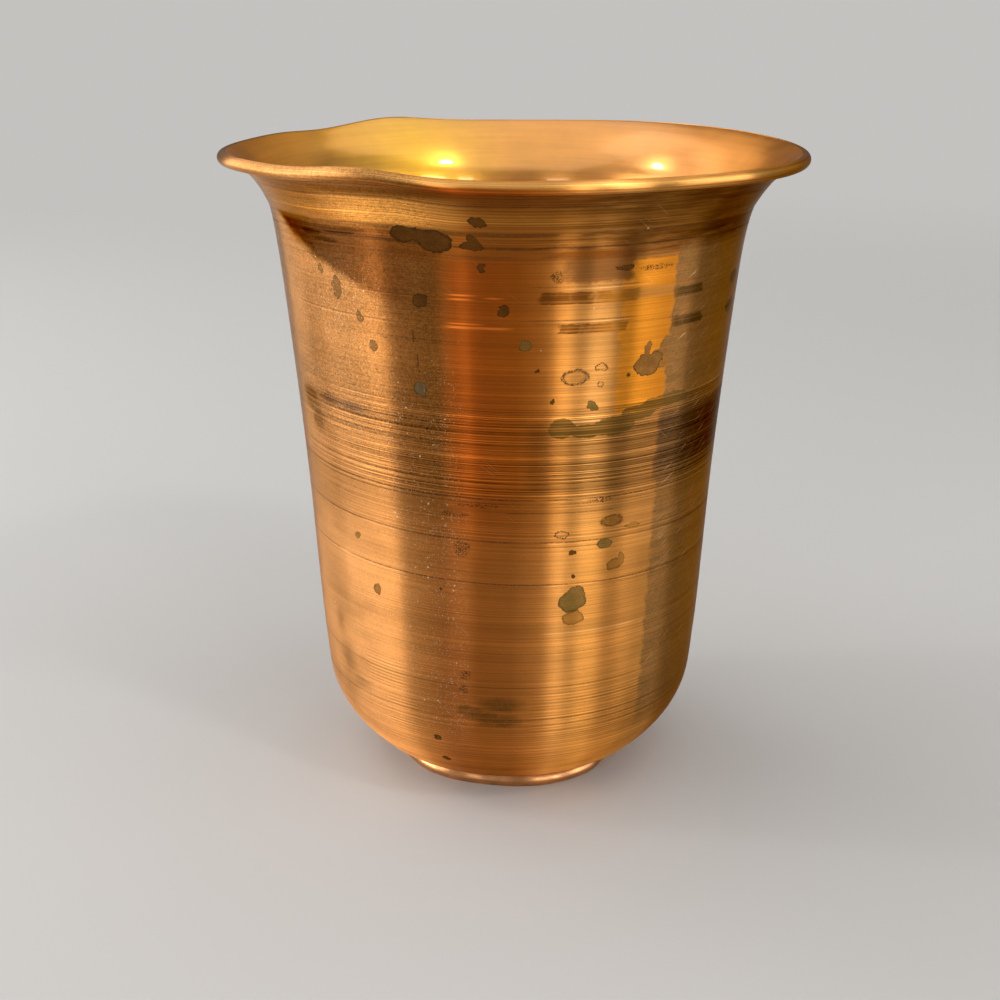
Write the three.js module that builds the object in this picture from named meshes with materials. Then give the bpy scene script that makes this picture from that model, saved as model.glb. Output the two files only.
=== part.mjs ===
// A copper ritual tumbler: a cup spun from one sheet, with a flared mouth whose edge is curled
// under, standing on a short foot ring that is brazed beneath it.
// Millimetres, +Z up. The origin is on the surface that it stands on, under the middle of the cup.
// Seen from the front, -Y is near, +X is to the right. Angles run anticlockwise from +X.
import * as THREE from "three";

// Sheet of the cup, measured across the wall.
const sheetThickness = 0.7;

// The foot ring. Its top is set in from the outer edge that it stands on.
const footRadius = 18;
const footSeatInset = 0.8;
const footBandSwell = 0.3;
const footBandHeight = 1.3;
const footWall = 2.4;
const footEdgeRound = 0.3;
const footSeatRadius = footRadius - footSeatInset;
const footInnerRadius = footRadius - footWall;

// Outer face of the cup, from the middle of its underside up to the throat.
const baseHeight = 0.9;
const baseFlatRadius = 9;
const footSeatHeight = 2.25;
const undersideRadius = 22.6;
const undersideHeight = 5;
const heelRadius = 27.65;
const heelHeight = 12;
const bodyRadius = 29.2;
const bodyHeight = 22;
const waistRadius = 31;
const waistHeight = 49;
const shoulderRadius = 33.25;
const shoulderHeight = 74;
const throatRadius = 34.65;

// The lip, up to where it begins to curl, and how far each part of the flare lies below it.
const lipHeight = 94.75;
const throatDrop = 9.15;
const flareDrop = 5.35;
const brimDrop = 2.15;
// How far the flare has spread outwards from the throat.
const flareSpread = 1.25;
const brimSpread = 3.55;
const lipSpread = 6.55;

// The curled edge: the hollow inside the roll, and how far round it is turned.
const curlBoreRadius = 0.2;
const curlTurn = THREE.MathUtils.degToRad(195);

// Clearance between the cup, the foot ring and the braze.
const jointClearance = 0.25;

// The braze is a fillet in the corner between the ring's inner face and the cup's underside.
const brazeLegDown = 0.8;
const brazeLegAcross = 1.5;
const brazeHollow = 0.35;

// The mouth is no longer true. Each bend is centred on an angle and fades over a spread on each side.
// Lift moves the edge up, and spread out moves it away from the middle.
const mouthBends = [
  { angle: -118, spread: 12, lift: 0.95, out: -0.2 },
  { angle: -143, spread: 20, lift: 0.4, out: 0 },
  { angle: 162, spread: 26, lift: -0.35, out: -0.4 },
  { angle: 138, spread: 10, lift: -0.5, out: 0 },
  { angle: 118, spread: 10, lift: 0.6, out: 0 },
  { angle: 90, spread: 30, lift: -0.65, out: 0 },
  { angle: -8, spread: 40, lift: -0.35, out: 0.8 },
];
// Both sides of the mouth sag below its front and back.
const mouthSag = 0.25;

// How finely curved shapes are cut up.
const turnSteps = 72;
const wallSteps = 33;
const curlSteps = 6;
const ringSteps = 3;

const copper = new THREE.MeshStandardMaterial({
  color: 0xc8743a,
  roughness: 0.32,
  metalness: 1,
});
const footCopper = new THREE.MeshStandardMaterial({
  color: 0xb9683a,
  roughness: 0.38,
  metalness: 1,
});
const brazeMetal = new THREE.MeshStandardMaterial({
  color: 0xb08d4e,
  roughness: 0.5,
  metalness: 1,
});

// The cup's outer face as one smooth line of radius and height, from its middle to its lip.
function outerLine() {
  const stations = [
    [baseFlatRadius, baseHeight],
    [footSeatRadius, footSeatHeight],
    [undersideRadius, undersideHeight],
    [heelRadius, heelHeight],
    [bodyRadius, bodyHeight],
    [waistRadius, waistHeight],
    [shoulderRadius, shoulderHeight],
    [throatRadius, lipHeight - throatDrop],
    [throatRadius + flareSpread, lipHeight - flareDrop],
    [throatRadius + brimSpread, lipHeight - brimDrop],
    [throatRadius + lipSpread, lipHeight],
  ].map(([radius, height]) => new THREE.Vector2(radius, height));
  const wall = new THREE.SplineCurve(stations).getPoints(wallSteps);
  return [new THREE.Vector2(0, baseHeight), ...wall];
}

// Unit vectors along a line of points, one for each point.
function headings(line) {
  return line.map((point, i) => {
    const before = line[Math.max(i - 1, 0)];
    const after = line[Math.min(i + 1, line.length - 1)];
    return after.clone().sub(before).normalize();
  });
}

// The same line moved sideways, to the left of the way it runs.
function offsetLeft(line, distance) {
  const ways = headings(line);
  return line.map(
    (point, i) => new THREE.Vector2(point.x - ways[i].y * distance, point.y + ways[i].x * distance),
  );
}

// Points on the curl, which turns outwards and down round a centre under the lip.
function curlArc(lipEnd, way, radius) {
  const centre = new THREE.Vector2(
    lipEnd.x + way.y * curlBoreRadius,
    lipEnd.y - way.x * curlBoreRadius,
  );
  const start = Math.atan2(lipEnd.y - centre.y, lipEnd.x - centre.x);
  return Array.from({ length: curlSteps }, (unused, i) => {
    const angle = start - (curlTurn * (i + 1)) / curlSteps;
    return new THREE.Vector2(
      centre.x + radius * Math.cos(angle),
      centre.y + radius * Math.sin(angle),
    );
  });
}

// Height of the cup's underside at a radius, for what is fitted beneath it.
function undersideAt(radius) {
  const line = outerLine();
  const next = line.findIndex((point) => point.x >= radius);
  const low = line[Math.max(next - 1, 0)];
  const high = line[next];
  const share = (radius - low.x) / (high.x - low.x);
  return THREE.MathUtils.lerp(low.y, high.y, share);
}

// A profile of radius and height turned about the Z axis.
function turned(profile) {
  return new THREE.LatheGeometry(profile, turnSteps).rotateX(Math.PI / 2);
}

// The cup's wall: up the outer face, round the curl, and back down the inner face.
function cupProfile() {
  const outer = outerLine();
  const inner = offsetLeft(outer, sheetThickness);
  inner[0].x = 0;
  const lipEnd = outer[outer.length - 1];
  const way = headings(outer)[outer.length - 1];
  const bore = curlArc(lipEnd, way, curlBoreRadius);
  const bead = curlArc(lipEnd, way, curlBoreRadius + sheetThickness);
  return [...outer, ...bore, ...bead.reverse(), ...inner.reverse()];
}

// How far a point at this angle round the mouth has been bent up and outwards.
function mouthBend(angle) {
  const bent = { lift: -mouthSag * Math.cos(angle) ** 2, out: 0 };
  for (const bend of mouthBends) {
    const turn = angle - THREE.MathUtils.degToRad(bend.angle);
    const away = Math.atan2(Math.sin(turn), Math.cos(turn));
    const share = Math.exp(-((away / THREE.MathUtils.degToRad(bend.spread)) ** 2));
    bent.lift += bend.lift * share;
    bent.out += bend.out * share;
  }
  return bent;
}

// Bends the mouth of the cup, and leaves everything below the throat as it was turned.
// What moves the edge outwards acts nearer to it than what lifts it.
function bendMouth(geometry) {
  const place = geometry.getAttribute("position");
  for (let i = 0; i < place.count; i += 1) {
    const point = new THREE.Vector3().fromBufferAttribute(place, i);
    const reach = THREE.MathUtils.smoothstep(point.z, shoulderHeight, lipHeight);
    if (reach > 0) {
      const angle = Math.atan2(point.y, point.x);
      const bent = mouthBend(angle);
      const away = bent.out * reach ** 3;
      point.x += Math.cos(angle) * away;
      point.y += Math.sin(angle) * away;
      point.z += bent.lift * reach;
      place.setXYZ(i, point.x, point.y, point.z);
    }
  }
  geometry.computeVertexNormals();
  return geometry;
}

// The foot ring: a flat land to stand on, a rounded edge, a swelling band and a top cut to the cup.
function footProfile() {
  const outside = new THREE.Path();
  outside.moveTo(footInnerRadius, 0);
  outside.lineTo(footRadius - footEdgeRound, 0);
  outside.absarc(
    footRadius - footEdgeRound,
    footEdgeRound,
    footEdgeRound,
    -Math.PI / 2,
    0,
    false,
  );
  outside.quadraticCurveTo(
    footRadius + footBandSwell,
    footBandHeight,
    footSeatRadius,
    undersideAt(footSeatRadius) - jointClearance,
  );
  const top = Array.from({ length: ringSteps }, (unused, i) => {
    const radius = THREE.MathUtils.lerp(footSeatRadius, footInnerRadius, (i + 1) / ringSteps);
    return new THREE.Vector2(radius, undersideAt(radius) - jointClearance);
  });
  const start = new THREE.Vector2(footInnerRadius, 0);
  return [...outside.getPoints(ringSteps), ...top, start];
}

// The braze: its two legs follow the ring and the cup, and its free face is hollow.
function brazeProfile() {
  const ringSide = footInnerRadius - jointClearance;
  const farSide = ringSide - brazeLegAcross;
  const top = Array.from({ length: ringSteps + 1 }, (unused, i) => {
    const radius = THREE.MathUtils.lerp(ringSide, farSide, i / ringSteps);
    return new THREE.Vector2(radius, undersideAt(radius) - jointClearance);
  });
  const foot = new THREE.Vector2(ringSide, top[0].y - brazeLegDown);
  const tip = top[top.length - 1];
  const middle = foot.clone().add(tip).multiplyScalar(1 / 2);
  middle.x += brazeHollow / 2;
  middle.y += brazeHollow;
  const face = new THREE.QuadraticBezierCurve(tip, middle, foot).getPoints(ringSteps);
  return [foot, ...top, ...face.slice(1)];
}

function named(name, geometry, material) {
  const mesh = new THREE.Mesh(geometry, material);
  mesh.name = name;
  return mesh;
}

const tumbler = new THREE.Group();
tumbler.add(named("cup_body", bendMouth(turned(cupProfile())), copper));
tumbler.add(named("foot_ring", turned(footProfile()), footCopper));
tumbler.add(named("braze_fillet", turned(brazeProfile()), brazeMetal));

export default tumbler;
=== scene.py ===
"""A copper ritual tumbler: a spun cup with a flared, rolled lip on a short brazed foot ring.

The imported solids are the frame. Each is replaced by a finer piece of the same shape, with the
grooves of the lathe, the slight waves of hand work and a procedural copper finish.
Lengths are in millimetres, and MM turns them into metres. Angles run anticlockwise from +X, and
-90 degrees is the side of the cup that the photograph shows.
"""

import math

import bpy
import numpy as np
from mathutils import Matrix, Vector


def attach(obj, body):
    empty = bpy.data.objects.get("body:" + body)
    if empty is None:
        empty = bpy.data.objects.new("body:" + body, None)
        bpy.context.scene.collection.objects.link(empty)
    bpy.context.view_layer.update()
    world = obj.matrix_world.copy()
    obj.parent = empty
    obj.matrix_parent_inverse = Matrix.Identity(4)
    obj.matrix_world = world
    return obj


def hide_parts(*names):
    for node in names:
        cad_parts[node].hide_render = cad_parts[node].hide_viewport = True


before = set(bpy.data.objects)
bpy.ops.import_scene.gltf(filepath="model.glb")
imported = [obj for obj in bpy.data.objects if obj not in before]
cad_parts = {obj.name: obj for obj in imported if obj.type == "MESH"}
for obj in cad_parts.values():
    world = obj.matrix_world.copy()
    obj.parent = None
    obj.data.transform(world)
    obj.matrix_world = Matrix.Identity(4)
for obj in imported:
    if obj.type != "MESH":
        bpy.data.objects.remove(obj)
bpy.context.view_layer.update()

MM = 0.001

# The camera of the photograph, solved from the ellipses of the lip and the edges of the wall.
CAMERA_PLACE = (-1.514, -233.748, 120.988)
CAMERA_TILT = math.radians(71.041)
CAMERA_LENS = 56.95
SENSOR_WIDTH = 36
NEAREST_SEEN = 10
FARTHEST_SEEN = 60000

# The cup's outer face, from its middle to where the lip begins to curl: radius and height.
CUP_STATIONS = [
    (9, 0.9), (17.2, 2.25), (22.6, 5), (27.65, 12), (29.2, 22), (31, 49),
    (33.25, 74), (34.65, 85.6), (35.9, 89.4), (38.2, 92.6), (41.2, 94.75),
]
STATION_STEPS = 60
SHEET_THICKNESS = 0.7
CURL_BORE_RADIUS = 0.2
CURL_TURN = math.radians(195)
CURL_STEPS = 14
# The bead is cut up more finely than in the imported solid, so it is this much thinner to stay inside.
BEAD_TRIM = 0.025

# The bent mouth: angle, spread on each side, lift of the edge and move outwards.
MOUTH_BENDS = [
    (-118, 12, 0.95, -0.2),
    (-143, 20, 0.4, 0),
    (162, 26, -0.35, -0.4),
    (138, 10, -0.5, 0),
    (118, 10, 0.6, 0),
    (90, 30, -0.65, 0),
    (-8, 40, -0.35, 0.8),
]
MOUTH_SAG = 0.25
BEND_START = 74
BEND_FULL = 94.75
# All of the mouth's lift lies within half of this, up or down.
LIFT_RANGE = 3

# How far the turning lines lean, as the fall in height for each millimetre towards +X.
LEAN_HEIGHTS = (14, 30, 38, 46, 60, 75, 86)
LEAN_FALLS = (0, 0.02, 0.034, 0.034, 0.026, 0.016, 0)

# Single grooves in the outer face: height, depth and half width.
GROOVES = [
    (91.6, 0.05, 0.2), (87.9, 0.045, 0.16), (86.1, 0.05, 0.18), (84.9, 0.03, 0.14),
    (79.9, 0.014, 0.14), (75.5, 0.016, 0.16), (51.3, 0.05, 0.13), (45, 0.055, 0.15),
    (38.6, 0.055, 0.16), (38.0, 0.03, 0.12), (27.7, 0.03, 0.14), (16.9, 0.035, 0.16),
]

# The roughly turned band round the waist, where the grooves lie close together. One side is smoother.
ROUGH_BAND_LOW = 52
ROUGH_BAND_HIGH = 64.7
ROUGH_BAND_FADE = 1.2
SMOOTHER_SIDE = -158
SMOOTHER_SPREAD = 24
SMOOTHER_SHARE = 0.65

# Sets of grooves left by chance: lowest, highest and spacing, the largest shift, the ranges of depth
# and half width, and how much each one comes and goes round the wall.
GROOVE_SEED = 11
ROUGH_GROOVES = (ROUGH_BAND_LOW, ROUGH_BAND_HIGH, 0.42, 0.15, (0.008, 0.034), (0.11, 0.19), 0.4)
FAINT_GROOVES = (14, 92, 1.35, 0.5, (0.002, 0.012), (0.4, 0.8), 0.5)

# Waves in the wall: size, number round the cup, radians for each millimetre up, and start.
WAVES = [(0.05, 2, 0.03, 0.6), (0.03, 3, -0.05, 2.1), (0.012, 7, 0.11, 0)]
# They rise from nothing over the heel, and end below the lip.
WAVES_RISE = (8, 30)
WAVES_END = (78, 92)

# The foot ring and the braze inside it.
FOOT_RADIUS = 18
FOOT_BAND_RADIUS = 18.3
FOOT_BAND_HEIGHT = 1.3
FOOT_SEAT_RADIUS = 17.2
FOOT_INNER_RADIUS = 15.6
FOOT_EDGE_ROUND = 0.3
JOINT_CLEARANCE = 0.25
BRAZE_LEG_DOWN = 0.8
BRAZE_LEG_ACROSS = 1.5
BRAZE_HOLLOW = 0.35
BRAZE_FLOW = 0.12
# Where the ring's outer face has been filed or dented: angle, spread and depth.
FOOT_DENTS = [(-103, 22, 0.65), (-31, 9, 0.6), (-150, 7, 0.25), (60, 14, 0.35), (140, 18, 0.3)]

# The wall's radius half way up, for lengths measured round it.
BODY_RADIUS = 31

# Columns round each piece, how far apart the cup's rows lie, and rows across the joint's faces.
TURN_STEPS = 240
PLAIN_ROW_STEP = 0.42
FINE_ROW_STEP = 0.12
GROOVE_REACH = 0.5
SPACING_SAMPLES = 6000
INNER_ROW_STEP = 0.9
FOOT_TOP_ROWS = 6
FOOT_SIDE_ROWS = 12
FOOT_EDGE_ROWS = 7
BRAZE_TOP_ROWS = 7
BRAZE_FACE_ROWS = 9
# A row nearer to the axis than this is one point.
ON_AXIS = 1e-6

# The floor, the pale tone behind the cup, and the ring over which the floor takes that tone.
FLOOR_REACH = 30000
FLOOR_TONE = (0.5, 0.49, 0.475)
BACKDROP = (0.55, 0.54, 0.525)
FLOOR_FADE_START = 150
FLOOR_FADE_END = 700
WORLD_LIGHT = (0.24, 0.2376, 0.2328)

# Lamps that face the middle of the cup: azimuth from the camera's side, positive to the right,
# elevation, distance, width, height and power. A lamp as wide as high is round.
LAMP_TARGET = 50
LAMPS = {
    "left_box": (-82.5, 8, 700, 520, 260, 3.4),
    "left_far_box": (-121, 8, 700, 450, 260, 1.7),
    "centre_strip": (-27, 8, 700, 150, 260, 0.4),
    "right_strip": (25, 8, 700, 100, 260, 0.6),
    "right_edge": (43.5, 8, 700, 160, 260, 0.85),
    "right_box": (79, 8, 700, 430, 260, 1.7),
    "overhead_box": (0, 80, 1100, 2000, 2600, 12),
    "left_high_box": (-108, 43, 1100, 1000, 900, 1.7),
    "back_box": (-142, 32, 1100, 800, 500, 1.2),
    "back_right_box": (152, 30, 1100, 700, 450, 0.25),
    "left_glint": (-91.8, 37.9, 900, 84, 84, 0.58),
    "right_glint": (44.7, 44.4, 900, 105, 105, 0.95),
}


def smoothstep(value, low, high):
    share = np.clip((value - low) / (high - low), 0, 1)
    return share * share * (3 - 2 * share)


def angle_between(angle, centre):
    return (angle - centre + 180) % 360 - 180


def hump(away, spread):
    """1 in the middle, and less on both sides of it."""
    return np.exp(-((away / spread) ** 2))


def spline(stations, steps):
    """Points on a curve through the stations, with the same number of steps between each two."""
    points = np.array(stations, float)
    padded = np.vstack([points[:1], points, points[-1:]])
    t = (np.arange(steps) / steps)[:, None]
    out = []
    for i in range(len(points) - 1):
        p0, p1, p2, p3 = padded[i:i + 4]
        v0 = (p2 - p0) / 2
        v1 = (p3 - p1) / 2
        cubic = 2 * p1 - 2 * p2 + v0 + v1
        square = -3 * p1 + 3 * p2 - 2 * v0 - v1
        out.append(cubic * t**3 + square * t**2 + v0 * t + p1)
    out.append(points[-1:])
    return np.vstack(out)


def bow(start, pull, end, count):
    """Points from the start to the end, on a curve drawn towards the pull. The start is left out."""
    t = np.linspace(0, 1, count)[1:, None]
    return start * (1 - t) ** 2 + pull * 2 * t * (1 - t) + end * t**2


OUTER_LINE = np.vstack([[0, CUP_STATIONS[0][1]], spline(CUP_STATIONS, STATION_STEPS)])


def radius_at(height):
    """Radius of the cup's outer face at a height."""
    return np.interp(height, OUTER_LINE[:, 1], OUTER_LINE[:, 0])


def under_cup(start, end, count):
    """Points just under the cup, from one radius to another."""
    across = np.linspace(start, end, count)
    return np.stack([across, np.interp(across, *OUTER_LINE.T) - JOINT_CLEARANCE], 1)


def headings(line):
    ways = np.gradient(line, axis=0)
    return ways / np.linalg.norm(ways, axis=1)[:, None]


def offset_left(line, distance):
    ways = headings(line)
    return line + np.stack([-ways[:, 1], ways[:, 0]], 1) * distance


def spaced(line, step_at):
    """Points along a line whose spacing follows the height there."""
    lengths = np.hypot(*np.diff(line, axis=0).T)
    along = np.concatenate([[0], np.cumsum(lengths)])
    places = np.linspace(0, along[-1], SPACING_SAMPLES)
    heights = np.interp(places, along, line[:, 1])
    counts = np.concatenate([[0], np.cumsum(np.diff(places) / step_at(heights[1:]))])
    total = math.ceil(counts[-1])
    chosen = np.interp(np.linspace(0, counts[-1], total + 1), counts, places)
    return np.stack([np.interp(chosen, along, line[:, i]) for i in (0, 1)], 1)


def outer_step(heights):
    """Rows lie close together in the rough band and at each groove."""
    fine = (heights > ROUGH_BAND_LOW - 1) & (heights < ROUGH_BAND_HIGH + 1)
    for groove in GROOVES:
        fine |= abs(heights - groove[0]) < GROOVE_REACH
    return np.where(fine, FINE_ROW_STEP, PLAIN_ROW_STEP)


def curl_arc(lip_end, way, radius):
    centre = lip_end + np.array([way[1], -way[0]]) * CURL_BORE_RADIUS
    start = math.atan2(lip_end[1] - centre[1], lip_end[0] - centre[0])
    angles = start - CURL_TURN * np.arange(1, CURL_STEPS + 1) / CURL_STEPS
    return centre + radius * np.stack([np.cos(angles), np.sin(angles)], 1)


def cup_rows():
    """The cup's profile as rows of radius and height, and how many of them are its outer face."""
    outer = spaced(OUTER_LINE, outer_step)
    inner = offset_left(OUTER_LINE, SHEET_THICKNESS)
    inner[0] = (0, OUTER_LINE[0][1] + SHEET_THICKNESS)
    inner = spaced(inner, lambda heights: INNER_ROW_STEP)
    way = headings(OUTER_LINE)[-1]
    bore = curl_arc(OUTER_LINE[-1], way, CURL_BORE_RADIUS)
    bead = curl_arc(OUTER_LINE[-1], way, CURL_BORE_RADIUS + SHEET_THICKNESS - BEAD_TRIM)
    return np.vstack([outer, bore, bead[::-1], inner[::-1]]), len(outer)


def mouth_bend(angle):
    """How far the edge has moved up and outwards at each angle, in degrees."""
    lift = -MOUTH_SAG * np.cos(np.radians(angle)) ** 2
    out = np.zeros_like(angle)
    for centre, spread, up, away in MOUTH_BENDS:
        share = hump(angle_between(angle, centre), spread)
        lift = lift + up * share
        out = out + away * share
    return lift, out


def bend_mouth(radius, angle, height):
    reach = smoothstep(height, BEND_START, BEND_FULL)
    lift, out = mouth_bend(angle)
    return radius + out * reach**3, height + lift * reach


def chance_cut(draw, turn, height, grooves):
    """How deep a set of grooves left by chance is cut."""
    low, high, spacing, shift, depths, widths, sway = grooves
    cut = np.zeros_like(height)
    for place in np.arange(low, high, spacing):
        place = place + draw.uniform(-shift, shift)
        depth = draw.uniform(*depths)
        width = draw.uniform(*widths)
        wave = np.sin(turn * draw.integers(1, 4) + draw.uniform(0, 2 * math.pi))
        cut += depth * (1 - sway + sway * wave) * hump(height - place, width)
    return cut


def groove_cut(angle, height):
    """How deep the turning lines are cut at each point of the outer face."""
    turn = np.radians(angle)
    cut = np.zeros_like(height)
    for number, (place, depth, width) in enumerate(GROOVES):
        strength = 0.7 + 0.3 * np.sin(turn + 1.7 * number) * np.sin(2 * turn + number)
        cut += depth * strength * hump(height - place, width)
    draw = np.random.default_rng(GROOVE_SEED)
    inside = smoothstep(height, ROUGH_BAND_LOW, ROUGH_BAND_LOW + ROUGH_BAND_FADE)
    inside = inside * (1 - smoothstep(height, ROUGH_BAND_HIGH - ROUGH_BAND_FADE, ROUGH_BAND_HIGH))
    inside = inside * (1 - SMOOTHER_SHARE * hump(angle_between(angle, SMOOTHER_SIDE), SMOOTHER_SPREAD))
    cut += inside * chance_cut(draw, turn, height, ROUGH_GROOVES)
    return cut + chance_cut(draw, turn, height, FAINT_GROOVES)


def wander(angle, height):
    """The slight waves that spinning by hand leaves in a wall."""
    turn = np.radians(angle)
    waves = sum(size * np.sin(number * turn + rise * height + start) for size, number, rise, start in WAVES)
    return waves * smoothstep(height, *WAVES_RISE) * (1 - smoothstep(height, *WAVES_END))


def new_piece(name, points, faces):
    """A mesh object from points in millimetres."""
    mesh = bpy.data.meshes.new(name)
    mesh.from_pydata((np.array(points) * MM).tolist(), [], faces)
    mesh.update()
    piece = bpy.data.objects.new(name, mesh)
    bpy.context.scene.collection.objects.link(piece)
    return piece


def turned_piece(name, rows, closed, change):
    """Rows turned about Z. Rows on the axis become one point. Change shapes the points."""
    angle = np.arange(TURN_STEPS) / TURN_STEPS * 360 - 180
    radius = np.repeat(rows[:, :1], TURN_STEPS, 1)
    height = np.repeat(rows[:, 1:], TURN_STEPS, 1)
    grid = np.repeat(angle[None, :], len(rows), 0)
    radius, height = change(radius, grid, height)
    turn = np.radians(grid)
    points = np.stack([radius * np.cos(turn), radius * np.sin(turn), height], 2)
    verts = []
    first = []
    for row, reach in zip(points, rows[:, 0]):
        first.append(len(verts))
        verts.extend(row[:1] * (0, 0, 1) if reach < ON_AXIS else row)

    def corners(row, columns):
        if rows[row][0] < ON_AXIS:
            return [first[row]]
        return [first[row] + column for column in columns]

    faces = []
    for a, b in zip(range(len(rows)), [*range(1, len(rows)), 0] if closed else range(1, len(rows))):
        for j in range(TURN_STEPS):
            k = (j + 1) % TURN_STEPS
            faces.append(corners(a, (j, k)) + corners(b, (k, j)))
    piece = new_piece(name, verts, faces)
    piece.data.shade_smooth()
    return piece


def make_cup(outer_finish, inner_finish):
    rows, outer_count = cup_rows()
    wall_start = int(np.argmax(rows[:, 1] > LEAN_HEIGHTS[0]))
    outside = slice(wall_start, outer_count)

    def shape(radius, angle, height):
        lean = np.interp(height[outside], LEAN_HEIGHTS, LEAN_FALLS)
        lowered = height[outside] - lean * radius[outside] * np.cos(np.radians(angle[outside]))
        radius[outside] = radius_at(lowered) - groove_cut(angle[outside], height[outside])
        height[outside] = lowered
        radius = radius + wander(angle, height)
        return bend_mouth(radius, angle, height)

    cup = turned_piece("cup_skin", rows, False, shape)
    cup.data.materials.append(outer_finish)
    cup.data.materials.append(inner_finish)
    # The outer finish goes over the curled edge, and the inner one starts behind it.
    kinds = np.zeros(len(cup.data.polygons), np.int32)
    kinds[TURN_STEPS * (outer_count + 2 * CURL_STEPS - 1):] = 1
    cup.data.polygons.foreach_set("material_index", kinds)
    return cup


def foot_rows():
    turn = np.radians(np.linspace(-90, 0, FOOT_EDGE_ROWS))
    edge = np.stack([np.cos(turn), np.sin(turn)], 1) * FOOT_EDGE_ROUND
    edge = edge + (FOOT_RADIUS - FOOT_EDGE_ROUND, FOOT_EDGE_ROUND)
    top = under_cup(FOOT_SEAT_RADIUS, FOOT_INNER_RADIUS, FOOT_TOP_ROWS)
    side = bow(edge[-1], np.array([FOOT_BAND_RADIUS, FOOT_BAND_HEIGHT]), top[0], FOOT_SIDE_ROWS)
    return np.vstack([[FOOT_INNER_RADIUS, 0], edge, side, top[1:]])


def make_foot(finish):
    def shape(radius, angle, height):
        share = np.clip((radius - FOOT_INNER_RADIUS) / (FOOT_RADIUS - FOOT_INNER_RADIUS), 0, 1)
        share = share * (1 - 0.5 * smoothstep(height, FOOT_BAND_HEIGHT, 2))
        for centre, spread, depth in FOOT_DENTS:
            radius = radius - share * depth * hump(angle_between(angle, centre), spread)
        return radius, height

    foot = turned_piece("foot_ring_skin", foot_rows(), True, shape)
    foot.data.materials.append(finish)
    return foot


def braze_rows():
    ring_side = FOOT_INNER_RADIUS - JOINT_CLEARANCE
    top = under_cup(ring_side, ring_side - BRAZE_LEG_ACROSS, BRAZE_TOP_ROWS)
    foot = top[0] - (0, BRAZE_LEG_DOWN)
    pull = (foot + top[-1]) / 2 + (BRAZE_HOLLOW / 2, BRAZE_HOLLOW)
    return np.vstack([foot, top, bow(top[-1], pull, foot, BRAZE_FACE_ROWS)[:-1]])


def make_braze(finish):
    rows = braze_rows()
    # The tip and the open face, where the braze flowed.
    flowed = slice(BRAZE_TOP_ROWS, len(rows))

    def shape(radius, angle, height):
        turn = np.radians(angle[flowed])
        flow = 0.5 + 0.2 * np.sin(5 * turn) + 0.15 * np.sin(11 * turn + 1) + 0.1 * np.sin(23 * turn + 2)
        height[flowed] += BRAZE_FLOW * flow
        return radius, height

    braze = turned_piece("braze_skin", rows, True, shape)
    braze.data.materials.append(finish)
    return braze


def place_of(angle, height):
    """A point on the cup's outer face."""
    turn = math.radians(angle)
    radius = float(radius_at(height))
    return Vector((radius * math.cos(turn), radius * math.sin(turn), height))


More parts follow.
